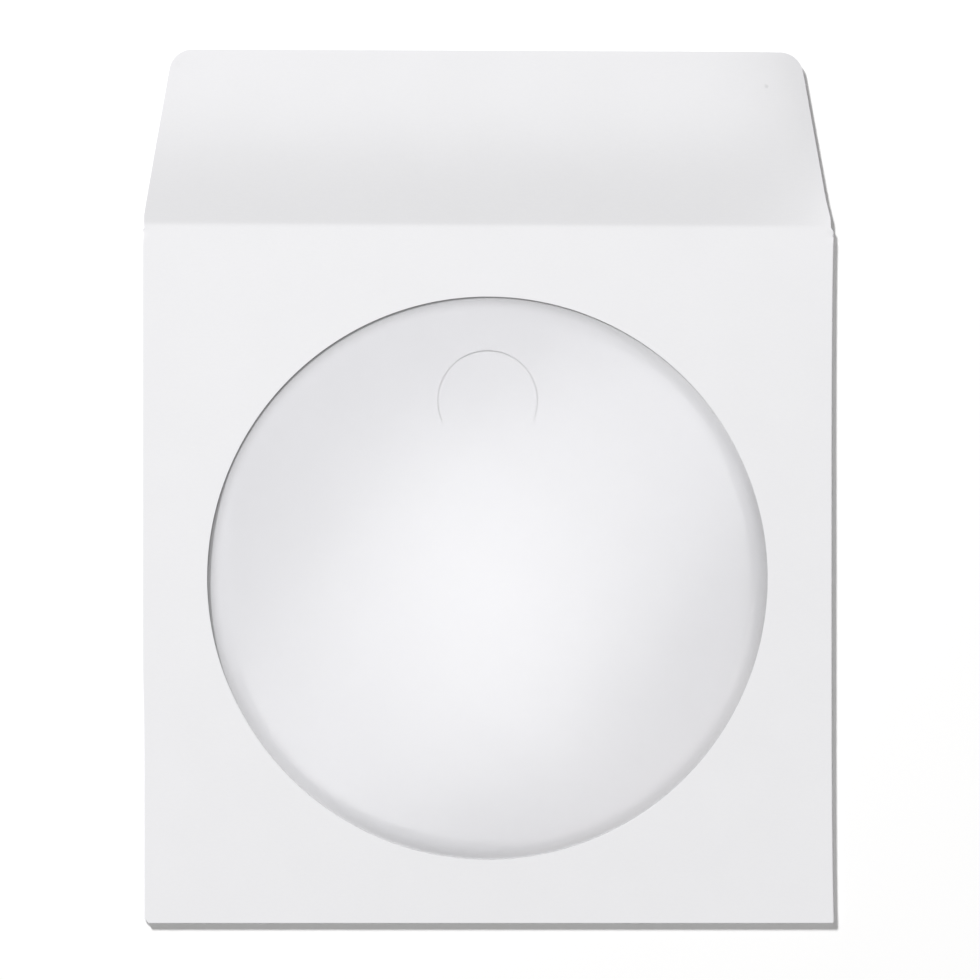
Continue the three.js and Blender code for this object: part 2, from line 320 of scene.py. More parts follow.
@dataclass(frozen=True)
class Blank:
    """The flat die-cut blank: its outline, window and tab slit, and the points between."""

    form: SleeveForm
    window_radius: float = 50.85
    window_narrowing: float = 0.9945
    window_steps: int = 288
    flap_depth: float = 31.3
    tip_skew: float = math.radians(0.22)
    flap_base_half: float = 61.85
    flap_tip_half: float = 56.5
    flap_shift: float = -0.2
    flap_shoulder: float = 1.5
    flap_corner: float = 4.2
    corner_steps: int = 12
    flap_foot: float = 0.2
    fold_slant: float = 1.2
    seam_flap_width: float = 9.5
    seam_flap_taper: float = 3.0
    back_inset: float = 1.0
    back_flare: float = 1.0
    corner_gap: float = 0.08
    corner_clip: float = 0.5
    throat_below_crease: float = 2.5
    throat_corner_cut: float = 3.0
    slit_width: float = 0.08
    slit_half_arc: float = math.radians(115)
    slit_steps: int = 72
    slit_slack: float = 0.001
    spacing: float = 1.25
    fold_spacing: float = 0.1
    fold_rows: int = 13
    crease_rows: int = 9
    cut_clearance: float = 0.3
    slack: float = 0.01
    weld: float = 1e-6
    sliver: float = 1e-9

    @property
    def fold_end(self) -> float:
        """Half the flat width out to where the side folds end."""
        return self.form.panel_half_width + self.form.side_length

    @property
    def side_reach(self) -> float:
        """Half the flat width out to the seam flaps' cut edges."""
        return self.fold_end + self.seam_flap_width - self.form.fold_reach

    @property
    def back_half_width(self) -> float:
        """Half the width of the back panel."""
        return self.form.places.half_width - self.back_inset

    @property
    def throat_y(self) -> float:
        """Where the back panel's throat lies on the flat blank, below everything else."""
        form = self.form
        back_length = form.crease_y - self.throat_below_crease - form.fold_y
        return form.fold_y - form.bottom_length - back_length

    def tip(self, x: float) -> float:
        """Place of the flap's cut tip across the sleeve."""
        return self.form.crease_y + self.flap_depth - x * math.tan(self.tip_skew)

    def rounded(self, before: Vector, at: Vector, after: Vector) -> list[Vector]:
        """Round a corner of the outline.

        Args:
            before: The corner before it.
            at: The corner itself.
            after: The corner after it.

        Returns:
            Points along the rounding.
        """
        to_before = (before - at).normalized()
        to_after = (after - at).normalized()
        half = to_before.angle(to_after) / 2
        centre = at + (to_before + to_after).normalized() * self.flap_corner / math.sin(half)
        start = at + to_before * self.flap_corner / math.tan(half) - centre
        end = at + to_after * self.flap_corner / math.tan(half) - centre
        turn = math.atan2(start.x * end.y - start.y * end.x, start.dot(end))
        points = []
        for step in range(self.corner_steps + 1):
            angle = turn * step / self.corner_steps
            swung = Vector((
                start.x * math.cos(angle) - start.y * math.sin(angle),
                start.x * math.sin(angle) + start.y * math.cos(angle),
            ))
            points.append(centre + swung)
        return points

    def half_outline(self, side: int) -> list[Vector]:
        """Corners of one side of the blank, from its throat up to the flap's tip.

        Args:
            side: 1 for the right side and -1 for the left.

        Returns:
            The side's corners, from the bottom up.
        """
        form = self.form
        back_half = self.back_half_width
        base = side * self.flap_base_half + self.flap_shift
        tip = side * self.flap_tip_half + self.flap_shift
        crease = float(form.crease(np.array(base)))
        clip = self.corner_clip * min(side, 0)
        low = form.fold_y + self.corner_gap - clip
        high = crease - form.fold_top
        shoulder = Vector((base, crease + self.flap_shoulder))
        tip_corner = Vector((tip, self.tip(tip)))
        corners = [
            (side * (back_half - self.throat_corner_cut), self.throat_y),
            (side * back_half, self.throat_y + self.throat_corner_cut),
            (side * back_half, form.fold_y - form.bottom_length - self.back_flare),
            (side * form.panel_half_width - clip, form.fold_y - form.bottom_length),
            (side * form.panel_half_width - clip, form.fold_y),
            (side * form.panel_half_width, low),
            (side * self.fold_end, low + self.corner_gap),
            (side * self.side_reach, low + self.seam_flap_taper),
            (side * self.side_reach, high - self.fold_slant - self.seam_flap_taper),
            (side * self.fold_end, high - self.fold_slant),
            (side * form.panel_half_width, high),
            (base, crease - self.flap_foot),
        ]
        level = Vector((tip - side * 4 * self.flap_corner, self.tip(tip)))
        return [Vector(c) for c in corners] + [shoulder] + self.rounded(shoulder, tip_corner, level)

    def outline(self) -> list[Vector]:
        """Outline of the blank, with straight stretches divided evenly."""
        corners = self.half_outline(1) + self.half_outline(-1)[::-1]
        points = []
        for here, there in zip(corners, corners[1:] + corners[:1]):
            length = (there - here).length
            steps = math.ceil(length / (self.spacing if length > 2 * self.spacing else self.fold_spacing))
            points += [here.lerp(there, step / steps) for step in range(steps)]
        return points

    def window(self) -> list[Vector]:
        """Outline of the round window."""
        middle = Vector((0, self.form.places.window_y))
        angles = [2 * math.pi * step / self.window_steps for step in range(self.window_steps)]
        across = self.window_radius * self.window_narrowing
        return [middle + Vector((across * math.cos(a), self.window_radius * math.sin(a))) for a in angles]

    def slit(self) -> list[Vector]:
        """Outline of the tuck tab's slit on the flat back panel."""
        form = self.form
        folded_foot = form.fold_y - form.bottom_length
        middle = Vector((0, folded_foot - (form.tab_centre_y - form.fold_y)))
        steps = range(self.slit_steps + 1)
        turns = [self.slit_half_arc * (2 * step / self.slit_steps - 1) for step in steps]
        outside = form.tab_radius + self.slit_width / 2
        inside = form.tab_radius - self.slit_width / 2
        rim = [middle + outside * Vector((math.sin(a), -math.cos(a))) for a in turns]
        return rim + [middle + inside * Vector((math.sin(a), -math.cos(a))) for a in turns[::-1]]

    def rows(self, start: float, end: float) -> np.ndarray:
        """Even places from start to end, close to the blank's spacing."""
        return np.linspace(start, end, max(2, round(abs(end - start) / self.spacing) + 1))

    def lattice(self) -> np.ndarray:
        """Points inside the blank: an even lattice, with close rows along every fold.

        Returns:
            The points, one row each.
        """
        form = self.form
        near = self.fold_spacing * 2
        half = form.panel_half_width
        across = self.rows(-half + near, half - near)
        bend = np.linspace(half, self.fold_end, self.fold_rows)
        flap = self.rows(self.fold_end + near, self.side_reach)
        across = np.concatenate([-flap[::-1], -bend[::-1], across, bend, flap])

        bottom_end = form.fold_y - form.bottom_length
        crease_band = 3 * form.crease_width
        along = np.concatenate([
            self.rows(self.throat_y, bottom_end - near),
            np.linspace(bottom_end, form.fold_y, self.fold_rows),
            self.rows(form.fold_y + near, form.crease_y - crease_band)[:-1],
            np.linspace(form.crease_y - crease_band, form.crease_y + crease_band, self.crease_rows),
            self.rows(form.crease_y + crease_band, form.crease_y + self.flap_depth)[1:],
        ])
        x, y = (grid.ravel() for grid in np.meshgrid(across, along))
        skewed = np.where(y > form.fold_y, form.crease(x) - form.crease_y, 0)
        share = np.clip((y - form.fold_y) / (form.crease_y - form.fold_y), 0, 1)
        return np.column_stack([x, y + skewed * share])

    def holds(self, points: np.ndarray, outline: np.ndarray) -> np.ndarray:
        """Test which points lie on the sheet.

        Args:
            points: The points, one row each.
            outline: The blank's outline.

        Returns:
            True for each point inside the outline and outside both cuts.
        """
        inside = np.zeros(len(points), bool)
        x, y = points[:, 0], points[:, 1]
        for (x0, y0), (x1, y1) in zip(outline, np.roll(outline, -1, axis=0)):
            if y0 != y1:
                crosses = (y0 > y) != (y1 > y)
                inside ^= crosses & (x < (x1 - x0) * (y - y0) / (y1 - y0) + x0)
        in_window = np.hypot(x / self.window_narrowing, y - self.form.places.window_y) < self.window_radius
        slit = self.slit()
        middle_y = slit[len(slit) // 4].y + self.form.tab_radius + self.slit_width / 2
        apart = np.hypot(x, y - middle_y)
        in_arc = np.abs(np.arctan2(x, middle_y - y)) < self.slit_half_arc
        in_slit = (np.abs(apart - self.form.tab_radius) < self.slit_width / 2 - self.slit_slack) & in_arc
        return inside & ~in_window & ~in_slit

    def triangles(self) -> tuple[np.ndarray, list[tuple[int, int, int]]]:
        """Triangulate the blank between its cut lines.

        Returns:
            The flat points, and the triangles between them, facing up.
        """
        loops = [self.outline(), self.window(), self.slit()]
        edges, start = [], 0
        for loop in loops:
            count = len(loop)
            edges += [(start + i, start + (i + 1) % count) for i in range(count)]
            start += count
        cut = np.array([tuple(point) for loop in loops for point in loop])
        outline = np.array([tuple(point) for point in loops[0]])
        lattice = self.lattice()
        lattice = lattice[self.holds(lattice, outline)]
        near = np.array([np.hypot(*(cut - point).T).min() for point in lattice])
        form = self.form
        x, y = np.abs(lattice[:, 0]), lattice[:, 1]
        bottom_end = form.fold_y - form.bottom_length
        in_bottom = (y < form.fold_y + self.slack) & (y > bottom_end - self.slack)
        fine = in_bottom | (x > form.panel_half_width - 2 * self.fold_spacing - self.slack)
        lattice = lattice[near > self.cut_clearance * np.where(fine, self.fold_spacing, self.spacing)]
        flat = np.vstack([cut, lattice])
        found = delaunay_2d_cdt([Vector(point) for point in flat], edges, [], 0, self.weld)
        flat = np.array([tuple(point) for point in found[0]])
        faces = np.array([tuple(face) for face in found[2]])
        middles = flat[faces].mean(axis=1)
        corners = flat[faces]
        first, second = corners[:, 1] - corners[:, 0], corners[:, 2] - corners[:, 0]
        area = first[:, 0] * second[:, 1] - first[:, 1] * second[:, 0]
        keep = self.holds(middles, outline) & (np.abs(area) > self.sliver)
        faces = np.where((area > 0)[:, None], faces, faces[:, ::-1])[keep]
        return flat, [tuple(int(i) for i in face) for face in faces]


class Field:
    """A number in a node tree, which arithmetic signs turn into Math nodes."""

    def __init__(self, tree: bpy.types.NodeTree, source: object) -> None:
        """Keep the tree and the socket or plain number that this field stands for."""
        self.tree = tree
        self.source = source

    def math(self, operation: str, *others: object) -> "Field":
        """Put this number through a Math node.

        Args:
            operation: The node's operation.
            others: The node's further inputs, as fields or plain numbers.

        Returns:
            The node's result.
        """
        node = self.tree.nodes.new("ShaderNodeMath")
        node.operation = operation
        for socket, value in zip(node.inputs, (self, *others)):
            source = value.source if isinstance(value, Field) else value
            if isinstance(source, bpy.types.NodeSocket):
                self.tree.links.new(source, socket)
            else:
                socket.default_value = source
        return Field(self.tree, node.outputs[0])

    def __add__(self, other: object) -> "Field":
        """Sum."""
        return self.math("ADD", other)

    def __sub__(self, other: object) -> "Field":
        """Difference."""
        return self.math("SUBTRACT", other)

    def __mul__(self, other: object) -> "Field":
        """Product."""
        return self.math("MULTIPLY", other)

    def __truediv__(self, other: object) -> "Field":
        """Quotient."""
        return self.math("DIVIDE", other)

    def __pow__(self, other: object) -> "Field":
        """Power."""
        return self.math("POWER", other)


@dataclass(frozen=True)
class Grain:
    """How a surface varies: its cloudiness, its fibres and how deep they stand."""

    cloud_scale: float
    fibre_scale: float
    cloud: float
    fibre: float
    depth: float


def grain_group() -> bpy.types.NodeTree:
    """Build the shader group that gives paper, cut edges, film and glue their variation.

    Returns:
        The group, which puts out a tone near one and a height near nothing.
    """
    tree = bpy.data.node_groups.new("surface_grain", "ShaderNodeTree")
    add = tree.interface.new_socket
    add(name="Vector", in_out="INPUT", socket_type="NodeSocketVector")
    for name in ("Cloud Scale", "Fibre Scale", "Cloud", "Fibre"):
        add(name=name, in_out="INPUT", socket_type="NodeSocketFloat")
    for name in ("Tone", "Height"):
        add(name=name, in_out="OUTPUT", socket_type="NodeSocketFloat")
    entry = tree.nodes.new("NodeGroupInput")
    leave = tree.nodes.new("NodeGroupOutput")
    noises = []
    for name, detail, stretch in (("Cloud Scale", 3.0, 1.0), ("Fibre Scale", 4.0, 2.6)):
        mapping = tree.nodes.new("ShaderNodeMapping")
        mapping.inputs["Scale"].default_value = (1.0, stretch, 1.0)
        noise = tree.nodes.new("ShaderNodeTexNoise")
        noise.inputs["Detail"].default_value = detail
        noise.inputs["Roughness"].default_value = NOISE_ROUGHNESS
        tree.links.new(entry.outputs["Vector"], mapping.inputs["Vector"])
        tree.links.new(mapping.outputs["Vector"], noise.inputs["Vector"])
        tree.links.new(entry.outputs[name], noise.inputs["Scale"])
        noises.append(Field(tree, noise.outputs["Fac"]) - 0.5)
    cloud = noises[0] * Field(tree, entry.outputs["Cloud"])
    fibre = noises[1] * Field(tree, entry.outputs["Fibre"])
    tone = cloud + fibre + 1.0
    height = noises[0] * CLOUD_HEIGHT + noises[1]
    tree.links.new(tone.source, leave.inputs["Tone"])
    tree.links.new(height.source, leave.inputs["Height"])
    return tree


def fleck_group() -> bpy.types.NodeTree:
    """Build the shader group that marks one small soft-edged spot of dirt.

    Returns:
        The group, which puts out how strongly a point is marked.
    """
    tree = bpy.data.node_groups.new("dirt_fleck", "ShaderNodeTree")
    add = tree.interface.new_socket
    add(name="Vector", in_out="INPUT", socket_type="NodeSocketVector")
    add(name="Centre", in_out="INPUT", socket_type="NodeSocketVector")
    for name in ("Radius", "Strength"):
        add(name=name, in_out="INPUT", socket_type="NodeSocketFloat")
    add(name="Mark", in_out="OUTPUT", socket_type="NodeSocketFloat")
    entry = tree.nodes.new("NodeGroupInput")
    leave = tree.nodes.new("NodeGroupOutput")
    apart = tree.nodes.new("ShaderNodeVectorMath")
    apart.operation = "DISTANCE"
    tree.links.new(entry.outputs["Vector"], apart.inputs[0])
    tree.links.new(entry.outputs["Centre"], apart.inputs[1])
    noise = tree.nodes.new("ShaderNodeTexNoise")
    noise.inputs["Scale"].default_value = FLECK_NOISE_SCALE
    tree.links.new(entry.outputs["Vector"], noise.inputs["Vector"])
    ragged = Field(tree, noise.outputs["Fac"]) + 0.5
    reach = Field(tree, entry.outputs["Radius"]) * ragged
    share = Field(tree, apart.outputs["Value"]) / reach
    mark = (Field(tree, 1.0) - share).math("MAXIMUM", 0.0).math("SMOOTH_MIN", 1.0, FLECK_SOFTNESS)
    mark = mark * Field(tree, entry.outputs["Strength"])
    tree.links.new(mark.source, leave.inputs["Mark"])
    return tree


@dataclass
class Finishes:
    """Shared shader groups, built once."""

    grain: bpy.types.NodeTree = field(default_factory=grain_group)
    fleck: bpy.types.NodeTree = field(default_factory=fleck_group)


def new_material(name: str) -> tuple[bpy.types.Material, bpy.types.NodeTree, bpy.types.Node]:
    """Start a node material.

    Args:
        name: The material's name.

    Returns:
        The material, its emptied tree and its output node.
    """
    material = bpy.data.materials.new(name)
    material.use_nodes = True
    tree = material.node_tree
    tree.nodes.clear()
    return material, tree, tree.nodes.new("ShaderNodeOutputMaterial")


def placed_grain(tree: bpy.types.NodeTree, group: bpy.types.NodeTree, grain: Grain) -> bpy.types.Node:
    """Place the grain group in a material, on its Object coordinates.

    Args:
        tree: The material's tree.
        group: The shared grain group.
        grain: The values for this material.

    Returns:
        The group's node.
    """
    node = tree.nodes.new("ShaderNodeGroup")
    node.node_tree = group
    place = tree.nodes.new("ShaderNodeTexCoord")
    tree.links.new(place.outputs["Object"], node.inputs["Vector"])
    node.inputs["Cloud Scale"].default_value = grain.cloud_scale
    node.inputs["Fibre Scale"].default_value = grain.fibre_scale
    node.inputs["Cloud"].default_value = grain.cloud
    node.inputs["Fibre"].default_value = grain.fibre
    return node


def tinted(
    tree: bpy.types.NodeTree, color: tuple[float, float, float], tone: bpy.types.NodeSocket
) -> bpy.types.NodeSocket:
    """Scale a colour by a tone.

    Args:
        tree: The material's tree.
        color: The colour.
        tone: The tone, near one.

    Returns:
        The scaled colour.
    """
    tint = tree.nodes.new("ShaderNodeVectorMath")
    tint.operation = "SCALE"
    tint.inputs[0].default_value = color
    tree.links.new(tone, tint.inputs["Scale"])
    return tint.outputs["Vector"]


def bumped(tree: bpy.types.NodeTree, height: bpy.types.NodeSocket, depth: float) -> bpy.types.NodeSocket:
    """Turn a height into a normal.

    Args:
        tree: The material's tree.
        height: The height.
        depth: How far the height reaches, in metres.

    Returns:
        The bumped normal.
    """
    bump = tree.nodes.new("ShaderNodeBump")
    bump.inputs["Strength"].default_value = 1.0
    bump.inputs["Distance"].default_value = depth
    tree.links.new(height, bump.inputs["Height"])
    return bump.outputs["Normal"]


@dataclass(frozen=True)
class Fleck:
    """A spot of dirt on the paper, in metres."""

    centre: tuple[float, float, float]
    radius: float
    strength: float


@dataclass(frozen=True)
class PaperFinish:
    """White uncoated paper, on its faces or on its cut edges."""

    name: str
    color: tuple[float, float, float]
    grain: Grain
    roughness: float = 0.88
    roughness_spread: float = 0.08
    specular: float = 0.25
    flecks: tuple[Fleck, ...] = ()

    def build(self, finishes: Finishes) -> bpy.types.Material:
        """Build the material.

        Args:
            finishes: The shared groups.

        Returns:
            The material.
        """
        material, tree, output = new_material(self.name)
        grain = placed_grain(tree, finishes.grain, self.grain)
        shader = tree.nodes.new("ShaderNodeBsdfPrincipled")
        tone = Field(tree, grain.outputs["Tone"])
        for fleck in self.flecks:
            node = tree.nodes.new("ShaderNodeGroup")
            node.node_tree = finishes.fleck
            place = tree.nodes.new("ShaderNodeTexCoord")
            tree.links.new(place.outputs["Object"], node.inputs["Vector"])
            node.inputs["Centre"].default_value = fleck.centre
            node.inputs["Radius"].default_value = fleck.radius
            node.inputs["Strength"].default_value = fleck.strength
            tone = tone * (Field(tree, 1.0) - Field(tree, node.outputs["Mark"]))
        tree.links.new(tinted(tree, self.color, tone.source), shader.inputs["Base Color"])
        rough = Field(tree, grain.outputs["Height"]) * self.roughness_spread + self.roughness
        tree.links.new(rough.source, shader.inputs["Roughness"])
        shader.inputs["Specular IOR Level"].default_value = self.specular
        normal = bumped(tree, grain.outputs["Height"], self.grain.depth)
        tree.links.new(normal, shader.inputs["Normal"])
        tree.links.new(shader.outputs["BSDF"], output.inputs["Surface"])
        return material


@dataclass(frozen=True)
class FilmFinish:
    """Clear glossy film, a little hazy, which shows the lamps above it, darkened towards its rim by
    painted shade.
    """

    name: str = "clear_film"
    clear: tuple[float, float, float] = (0.988, 0.988, 0.992)
    haze: float = 0.1
    # How strongly painted shade darkens the film's see-through colour at its rim.
    rim_shade_strength: float = 0.08
    roughness: float = 0.16
    roughness_spread: float = 0.1
    ior: float = 1.5
    grain: Grain = Grain(60.0, 900.0, 0.0, 0.0, 0.0000006)

    def build(self, finishes: Finishes) -> bpy.types.Material:
        """Build the material.

        Args:
            finishes: The shared groups.

        Returns:
            The material.
        """
        material, tree, output = new_material(self.name)
        grain = placed_grain(tree, finishes.grain, self.grain)
        # Painted shade: the film's see-through and hazy colour is darkened towards its rim.
        rim = tree.nodes.new("ShaderNodeAttribute")
        rim.attribute_name = RIM_SHADE_ATTRIBUTE
        kept = Field(tree, 1.0) - Field(tree, rim.outputs["Fac"]) * self.rim_shade_strength
        tint = tinted(tree, self.clear, kept.source)
        through = tree.nodes.new("ShaderNodeBsdfTransparent")
        tree.links.new(tint, through.inputs["Color"])
        milky = tree.nodes.new("ShaderNodeBsdfDiffuse")
        tree.links.new(tint, milky.inputs["Color"])
        hazy = tree.nodes.new("ShaderNodeMixShader")
        hazy.inputs["Fac"].default_value = self.haze
        tree.links.new(through.outputs["BSDF"], hazy.inputs[1])
        tree.links.new(milky.outputs["BSDF"], hazy.inputs[2])
        gloss = tree.nodes.new("ShaderNodeBsdfGlossy")
        rough = Field(tree, grain.outputs["Height"]) * self.roughness_spread + self.roughness
        tree.links.new(rough.source, gloss.inputs["Roughness"])
        fresnel = tree.nodes.new("ShaderNodeFresnel")
        side = tree.nodes.new("ShaderNodeNewGeometry")
        bend = Field(tree, side.outputs["Backfacing"]) * (1 / self.ior - self.ior) + self.ior
        tree.links.new(bend.source, fresnel.inputs["IOR"])
        mix = tree.nodes.new("ShaderNodeMixShader")
        tree.links.new(fresnel.outputs["Fac"], mix.inputs["Fac"])
        tree.links.new(hazy.outputs["Shader"], mix.inputs[1])
        tree.links.new(gloss.outputs["BSDF"], mix.inputs[2])
        tree.links.new(mix.outputs["Shader"], output.inputs["Surface"])
        return material


@dataclass(frozen=True)
class GlueFinish:
    """Dried glue between the layers."""

    name: str = "dried_glue"
    color: tuple[float, float, float] = (0.78, 0.76, 0.7)
    roughness: float = 0.45
    roughness_spread: float = 0.2
    grain: Grain = Grain(220.0, 900.0, 0.08, 0.05, 0.00001)

    def build(self, finishes: Finishes) -> bpy.types.Material:
        """Build the material.

        Args:
            finishes: The shared groups.

        Returns:
            The material.
        """
        material, tree, output = new_material(self.name)
        grain = placed_grain(tree, finishes.grain, self.grain)
        shader = tree.nodes.new("ShaderNodeBsdfPrincipled")
        tree.links.new(tinted(tree, self.color, grain.outputs["Tone"]), shader.inputs["Base Color"])
        rough = Field(tree, grain.outputs["Height"]) * self.roughness_spread + self.roughness
        tree.links.new(rough.source, shader.inputs["Roughness"])
        normal = bumped(tree, grain.outputs["Height"], self.grain.depth)
        tree.links.new(normal, shader.inputs["Normal"])
        tree.links.new(shader.outputs["BSDF"], output.inputs["Surface"])
        return material


def plain_mesh(obj: bpy.types.Object) -> None:
    """Turn an object's evaluated modifiers into its own plain mesh.

    Args:
        obj: The object, which keeps its name and loses its modifiers.
    """
    graph = bpy.context.evaluated_depsgraph_get()
    mesh = bpy.data.meshes.new_from_object(obj.evaluated_get(graph))
    mesh.name = obj.name
    obj.modifiers.clear()
    obj.data = mesh


def new_object(name: str, data: bpy.types.ID) -> bpy.types.Object:
    """Put a mesh, a lamp or a camera in the scene.

    Args:
        name: The object's name.
        data: Its mesh, lamp or camera.

    Returns:
        The object.
    """
    obj = bpy.data.objects.new(name, data)
    bpy.context.scene.collection.objects.link(obj)
    return obj


@dataclass
class PaperSleeve:
    """The folded blank, as one smooth sheet with cut edges."""

    form: SleeveForm
    face: PaperFinish
    cut: PaperFinish
    sharp_angle: float = math.radians(28)

    def build(self, finishes: Finishes) -> bpy.types.Object:
        """Cut, fold and dress the sheet.

        Args:
            finishes: The shared groups.

        Returns:
            The sleeve.
        """
        flat, faces = Blank(self.form).triangles()
        mesh = bpy.data.meshes.new("folded_sleeve")
        mesh.from_pydata((self.form.fold(flat) * MM).tolist(), [], faces)
        mesh.shade_smooth()
        sleeve = new_object("folded_sleeve", mesh)
        for finish in (self.face, self.cut):
            mesh.materials.append(finish.build(finishes))
        wall = sleeve.modifiers.new("wall", "SOLIDIFY")
        wall.thickness = self.form.places.paper * MM
        wall.offset = 0.0
        wall.material_offset_rim = 1
        plain_mesh(sleeve)
        sleeve.data.set_sharp_from_angle(angle=self.sharp_angle)
        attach(sleeve, BODY)
        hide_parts("paper_sleeve")
        log.info("%s: %d faces", sleeve.name, len(sleeve.data.polygons))
        return sleeve


@dataclass
class WindowPatch:
    """A patch under the window panel that follows its crown: the film, or its ring of glue."""

    form: SleeveForm
    layer: Layer
    window_radius: float = 50.8
    film_clearance: float = 0.3
    glue_setback: float = 1.0
    corner_power: float = 22.0
    # Reach in millimetres, and falloff power, of the painted shade towards the film's rim.
    rim_shade_width: float = 2.1
    rim_shade_falloff: float = 1.5
    shoulder_lift: float = 0.2
    shoulder_width: float = 3.0
    film_crown: float = 0.85
    spokes: int = 240
    rings: int = 64
    border_share: float = 0.12
    weld: float = 1e-6
    sharp_angle: float = math.radians(50)

    def tree(self) -> bpy.types.NodeTree:
        """Build the node tree that lays a round-windowed square patch under the panel.

        Returns:
            The tree, with its sizes as named inputs in metres.
        """
        tree = bpy.data.node_groups.new(f"patch_{self.layer.value}", "GeometryNodeTree")
        add = tree.interface.new_socket
        add(name="Geometry", in_out="OUTPUT", socket_type="NodeSocketGeometry")
        for name in self.sizes():
            add(name=name, in_out="INPUT", socket_type="NodeSocketFloat")
        add(name="Material", in_out="INPUT", socket_type="NodeSocketMaterial")
        entry = tree.nodes.new("NodeGroupInput")
        size = {name: Field(tree, entry.outputs[name]) for name in self.sizes()}

        grid = tree.nodes.new("GeometryNodeMeshGrid")
        grid.inputs["Vertices X"].default_value = self.spokes + 1
        grid.inputs["Vertices Y"].default_value = self.rings + 1
        place = tree.nodes.new("GeometryNodeInputPosition")
        apart = tree.nodes.new("ShaderNodeSeparateXYZ")
        tree.links.new(place.outputs["Position"], apart.inputs["Vector"])
        turn = (Field(tree, apart.outputs["X"]) + 0.5) * (2 * math.pi)
        share = Field(tree, apart.outputs["Y"]) + 0.5
        distance, x, y = self.plan(size, turn, share)
        height = self.height(size, distance, x, y)

        spot = tree.nodes.new("ShaderNodeCombineXYZ")
        for name, value in (("X", x), ("Y", y), ("Z", height)):
            tree.links.new(value.source, spot.inputs[name])
        move = tree.nodes.new("GeometryNodeSetPosition")
        # Stores how strongly painted shade darkens the film near its rim, from one at the rim to nothing
        # inwards.
        mark = tree.nodes.new("GeometryNodeStoreNamedAttribute")
        mark.domain = "POINT"
        mark.inputs["Name"].default_value = RIM_SHADE_ATTRIBUTE
        near = (size["Clear"] - distance) / size["Rim Shade Width"]
        near = (Field(tree, 1.0) - near.math("MAXIMUM", 0.0)).math("MAXIMUM", 0.0) ** self.rim_shade_falloff
        tree.links.new(near.source, mark.inputs["Value"])
        close = tree.nodes.new("GeometryNodeMergeByDistance")
        close.inputs["Distance"].default_value = self.weld
        smooth = tree.nodes.new("GeometryNodeSetShadeSmooth")
        real = tree.nodes.new("GeometryNodeRealizeInstances")
        dress = tree.nodes.new("GeometryNodeSetMaterial")
        leave = tree.nodes.new("NodeGroupOutput")
        tree.links.new(grid.outputs["Mesh"], mark.inputs["Geometry"])
        tree.links.new(spot.outputs["Vector"], move.inputs["Position"])
        tree.links.new(entry.outputs["Material"], dress.inputs["Material"])
        chain = (mark, move, close, smooth, real, dress, leave)
        for here, there in zip(chain, chain[1:]):
            tree.links.new(here.outputs[0], there.inputs[0])
        return tree

    def plan(self, size: dict[str, Field], turn: Field, share: Field) -> tuple[Field, Field, Field]:
        """Spread the rings from the window's middle, or its glue's inner edge, to the border.

        Args:
            size: The tree's sizes.
            turn: The angle of each spoke.
            share: How far out each ring lies, from nothing to one.

        Returns:
            The distance from the window's middle, and the place across and along.
        """
        inner = (share / (1 - self.border_share)).math("MINIMUM", 1.0)
        outer = ((share - (1 - self.border_share)) / self.border_share).math("MAXIMUM", 0.0)
        eased = Field(share.tree, 1.0) - (Field(share.tree, 1.0) - inner) ** 2.0
        cosine, sine = turn.math("COSINE"), turn.math("SINE")
        power = self.corner_power
        squared = cosine.math("ABSOLUTE") ** power + sine.math("ABSOLUTE") ** power
        border = size["Reach"] / squared ** (1 / power)
        round_part = size["Inner"] + (size["Clear"] - size["Inner"]) * eased
        distance = round_part + (border - size["Clear"]) * outer
        return distance, distance * cosine, distance * sine + size["Window Y"]

    def height(self, size: dict[str, Field], distance: Field, x: Field, y: Field) -> Field:
        """Follow the panel's crown, and stand up a little inside the window.

        Args:
            size: The tree's sizes.
            distance: Distance from the window's middle.
            x: Place across the sleeve.
            y: Place along the sleeve.

        Returns:
            Height of the patch's middle.
        """
        one = Field(x.tree, 1.0)
        crease = size["Crease Y"] - x * size["Crease Slope"]
        half = (crease - size["Fold Y"]) * 0.5
        along = one - ((y - size["Fold Y"] - half) / half) ** 2.0
        across = one - (x / size["Half Width"]) ** 2.0
        panel = (size["Crown"] * across + size["Side Lift"]) * along
        inwards = (size["Clear"] - distance).math("MAXIMUM", 0.0)
        share = (inwards / size["Shoulder Width"]).math("MINIMUM", 1.0)
        shoulder = share * share * (Field(x.tree, 3.0) - share * 2.0) * size["Shoulder Lift"]
        dome = (one - (distance / size["Clear"]) ** 2.0).math("MAXIMUM", 0.0) * size["Film Crown"]
        return size["Base"] + panel + shoulder + dome

    def sizes(self) -> dict[str, float]:
        """Sizes of this patch, in millimetres, by the names of the tree's inputs."""
        places, form = self.form.places, self.form
        film = self.layer is Layer.FILM
        low, high = (places.film_low, places.film_top) if film else (places.film_top, places.front_low)
        return {
            "Inner": 0.0 if film else self.window_radius + self.glue_setback,
            "Clear": self.window_radius + (-self.film_clearance if film else 2 * self.glue_setback),
            "Reach": places.film_reach if film else places.glue_reach,
            "Window Y": places.window_y,
            "Base": (low + high) / 2,
            "Crown": form.crown,
            "Side Lift": form.side_lift,
            "Half Width": form.panel_half_width,
            "Fold Y": form.fold_y,
            "Crease Y": form.crease_y,
            "Crease Slope": math.tan(form.crease_skew) / MM,
            "Rim Shade Width": self.rim_shade_width,
            "Shoulder Width": self.shoulder_width,
            "Shoulder Lift": self.shoulder_lift if film else 0.0,
            "Film Crown": self.film_crown if film else 0.0,
        }

